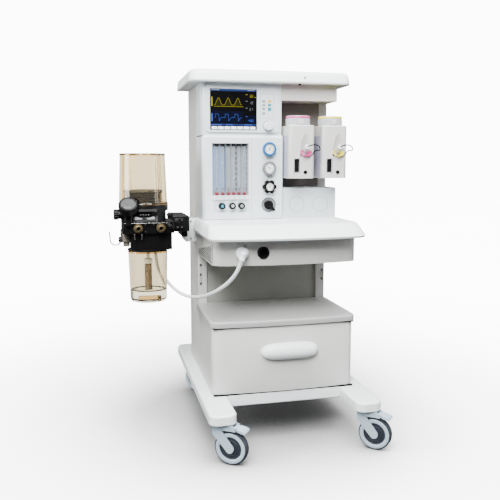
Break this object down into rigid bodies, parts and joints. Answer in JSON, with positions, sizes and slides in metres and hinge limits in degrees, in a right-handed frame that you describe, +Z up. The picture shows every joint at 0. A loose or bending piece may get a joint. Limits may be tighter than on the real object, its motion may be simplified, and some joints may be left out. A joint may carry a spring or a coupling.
{
  "type": "anesthesia machine",
  "caption": "Trolley-mounted anesthesia machine with monitor, flow-meter panel, vaporizers, drawer, casters and a side absorber with bellows.",
  "frame": {"origin": "on the floor under the middle of the machine's whole box", "axes": "+Z up, the front with monitor, drawer and worktop faces -Y, the absorber hangs on the -X side"},
  "size_m": [1.0104, 0.9746, 1.425],
  "materials": {
    "warm_grey_paint": "satin powder coat",
    "light_grey_panel": "satin powder coat",
    "white_moulding": "satin moulded plastic",
    "leg_casting": "white powder coat",
    "caster_grey": "fine texture",
    "caster_wheel": "rubber tyre on a plastic rim",
    "display": "gloss",
    "clear_glass": "polished",
    "black_plastic": "satin",
    "black_metal": "black anodised",
    "grey_metal": "satin",
    "amber_clear": "clear amber plastic",
    "black_rubber": "matt",
    "vaporizer_white": "white enamel",
    "port_brass": "satin",
    "steel": "bright",
    "clear_hose": "clear tube"
  },
  "bodies": {
    "trolley": {"leg_left": "leg_casting", "leg_right": "leg_casting", "base_frame": "leg_casting", "cabinet_shell": "warm_grey_paint", "cabinet_shelf": "white_moulding", "drawer_runners": "steel", "post_left": "warm_grey_paint", "post_right": "warm_grey_paint", "back_panels": "light_grey_panel", "rear_cover": "light_grey_panel", "worktop": "white_moulding", "outlet_box": "warm_grey_paint", "gas_outlet": "white_moulding", "round_socket": "black_plastic", "monitor_housing": "white_moulding", "display_panel": "display", "flow_panel": "white_moulding", "flow_tubes": "clear_glass", "pressure_gauges": "grey_metal", "header_panel": "warm_grey_paint", "lower_panel": "white_moulding", "top_shelf": "white_moulding", "vaporizer_bar": "grey_metal", "circuit_block": "black_metal", "bellows_dome": "amber_clear", "bellows": "black_rubber", "airway_gauge": "black_plastic", "breathing_ports": "port_brass", "hose_hook": "steel", "absorber_bracket": "black_metal", "fresh_gas_hose": "clear_hose", "vaporizer_body_1": "vaporizer_white", "vaporizer_body_2": "vaporizer_white"},
    "drawer": {"drawer_front": "white_moulding", "drawer_tray": "light_grey_panel", "drawer_handle": "white_moulding"},
    "fork_front_left": {"caster_fork_front_left": "caster_grey"},
    "wheel_front_left": {"caster_wheel_front_left": "caster_wheel"},
    "pedal_front_left": {"brake_pedal_front_left": "caster_grey"},
    "fork_front_right": {"caster_fork_front_right": "caster_grey"},
    "wheel_front_right": {"caster_wheel_front_right": "caster_wheel"},
    "pedal_front_right": {"brake_pedal_front_right": "caster_grey"},
    "fork_rear_left": {"caster_fork_rear_left": "caster_grey"},
    "wheel_rear_left": {"caster_wheel_rear_left": "caster_wheel"},
    "fork_rear_right": {"caster_fork_rear_right": "caster_grey"},
    "wheel_rear_right": {"caster_wheel_rear_right": "caster_wheel"},
    "encoder": {"encoder_knob": "white_moulding"},
    "flow_valve_1": {"flow_knob_1": "black_plastic"},
    "flow_valve_2": {"flow_knob_2": "black_plastic"},
    "flow_valve_3": {"flow_knob_3": "black_plastic"},
    "regulator": {"regulator_knob": "black_plastic"},
    "selector": {"selector_switch": "black_plastic"},
    "dial_1": {"vaporizer_dial_1": "white_moulding"},
    "filler_1": {"filler_cap_1": "white_moulding"},
    "dial_2": {"vaporizer_dial_2": "white_moulding"},
    "filler_2": {"filler_cap_2": "white_moulding"},
    "bellows_top": {"bellows_plate": "black_plastic"},
    "relief_valve": {"relief_knob": "black_plastic"},
    "bag_selector": {"bag_lever": "steel"},
    "absorbent_canister": {"canister": "amber_clear"}
  },
  "joints": [
    {"name": "drawer_slide", "type": "slide", "parent": "trolley", "child": "drawer", "axis": [0, -1, 0], "range_m": [0, 0.24]},
    {"name": "swivel_front_left", "type": "hinge", "parent": "trolley", "child": "fork_front_left", "pos_m": [-0.1367, -0.4067, 0.15], "axis": [0, 0, 1], "continuous": true},
    {"name": "roll_front_left", "type": "hinge", "parent": "fork_front_left", "child": "wheel_front_left", "pos_m": [-0.1052, -0.42795, 0.0625], "axis": [0.5592, 0.829, 0], "continuous": true},
    {"name": "brake_front_left", "type": "hinge", "parent": "fork_front_left", "child": "pedal_front_left", "pos_m": [-0.09276, -0.43634, 0.137], "axis": [0.5592, 0.829, 0], "range_deg": [0, 8]},
    {"name": "swivel_front_right", "type": "hinge", "parent": "trolley", "child": "fork_front_right", "pos_m": [0.4153, -0.4067, 0.15], "axis": [0, 0, 1], "continuous": true},
    {"name": "roll_front_right", "type": "hinge", "parent": "fork_front_right", "child": "wheel_front_right", "pos_m": [0.44441, -0.43113, 0.0625], "axis": [0.6428, 0.766, 0], "continuous": true},
    {"name": "brake_front_right", "type": "hinge", "parent": "fork_front_right", "child": "pedal_front_right", "pos_m": [0.4559, -0.44077, 0.137], "axis": [0.6428, 0.766, 0], "range_deg": [0, 8]},
    {"name": "swivel_rear_left", "type": "hinge", "parent": "trolley", "child": "fork_rear_left", "pos_m": [-0.1367, 0.3833, 0.15], "axis": [0, 0, 1], "continuous": true},
    {"name": "roll_rear_left", "type": "hinge", "parent": "fork_rear_left", "child": "wheel_rear_left", "pos_m": [-0.11656, 0.35107, 0.0625], "axis": [0.848, 0.5299, 0], "continuous": true},
    {"name": "swivel_rear_right", "type": "hinge", "parent": "trolley", "child": "fork_rear_right", "pos_m": [0.4153, 0.3833, 0.15], "axis": [0, 0, 1], "continuous": true},
    {"name": "roll_rear_right", "type": "hinge", "parent": "fork_rear_right", "child": "wheel_rear_right", "pos_m": [0.44264, 0.3569, 0.0625], "axis": [0.6947, 0.7193, 0], "continuous": true},
    {"name": "encoder_turn", "type": "hinge", "parent": "trolley", "child": "encoder", "pos_m": [0.1263, -0.0527, 1.212], "axis": [0, -1, 0], "continuous": true},
    {"name": "flow_turn_1", "type": "hinge", "parent": "trolley", "child": "flow_valve_1", "pos_m": [-0.0647, -0.0587, 0.897], "axis": [0, -1, 0], "range_deg": [0, 720]},
    {"name": "flow_turn_2", "type": "hinge", "parent": "trolley", "child": "flow_valve_2", "pos_m": [-0.0227, -0.0587, 0.897], "axis": [0, -1, 0], "range_deg": [0, 720]},
    {"name": "flow_turn_3", "type": "hinge", "parent": "trolley", "child": "flow_valve_3", "pos_m": [0.0143, -0.0587, 0.897], "axis": [0, -1, 0], "range_deg": [0, 720]},
    {"name": "regulator_turn", "type": "hinge", "parent": "trolley", "child": "regulator", "pos_m": [0.1273, -0.0637, 0.972], "axis": [0, -1, 0], "range_deg": [0, 720]},
    {"name": "selector_turn", "type": "hinge", "parent": "trolley", "child": "selector", "pos_m": [0.1273, -0.0487, 0.899], "axis": [0, -1, 0], "range_deg": [0, 90]},
    {"name": "dial_turn_1", "type": "hinge", "parent": "trolley", "child": "dial_1", "pos_m": [0.2433, -0.0667, 1.23], "axis": [0, 0, 1], "range_deg": [0, 270]},
    {"name": "filler_turn_1", "type": "hinge", "parent": "trolley", "child": "filler_1", "pos_m": [0.2583, -0.1187, 1.104], "axis": [0, -0.788, 0.6157], "range_deg": [0, 720]},
    {"name": "dial_turn_2", "type": "hinge", "parent": "trolley", "child": "dial_2", "pos_m": [0.3783, -0.0667, 1.23], "axis": [0, 0, 1], "range_deg": [0, 270]},
    {"name": "filler_turn_2", "type": "hinge", "parent": "trolley", "child": "filler_2", "pos_m": [0.3933, -0.1187, 1.104], "axis": [0, -0.788, 0.6157], "range_deg": [0, 720]},
    {"name": "bellows_rise", "type": "slide", "parent": "trolley", "child": "bellows_top", "axis": [0, 0, 1], "range_m": [0, 0.12], "deforming": ["bellows"]},
    {"name": "relief_turn", "type": "hinge", "parent": "trolley", "child": "relief_valve", "pos_m": [-0.4727, -0.0187, 0.868], "axis": [-1, 0, 0], "range_deg": [0, 270]},
    {"name": "bag_lever_turn", "type": "hinge", "parent": "trolley", "child": "bag_selector", "pos_m": [-0.3307, -0.0987, 0.888], "axis": [0, -1, 0], "range_deg": [-30, 0]},
    {"name": "canister_drop", "type": "slide", "parent": "trolley", "child": "absorbent_canister", "axis": [0, 0, -1], "range_m": [0, 0.02]}
  ]
}
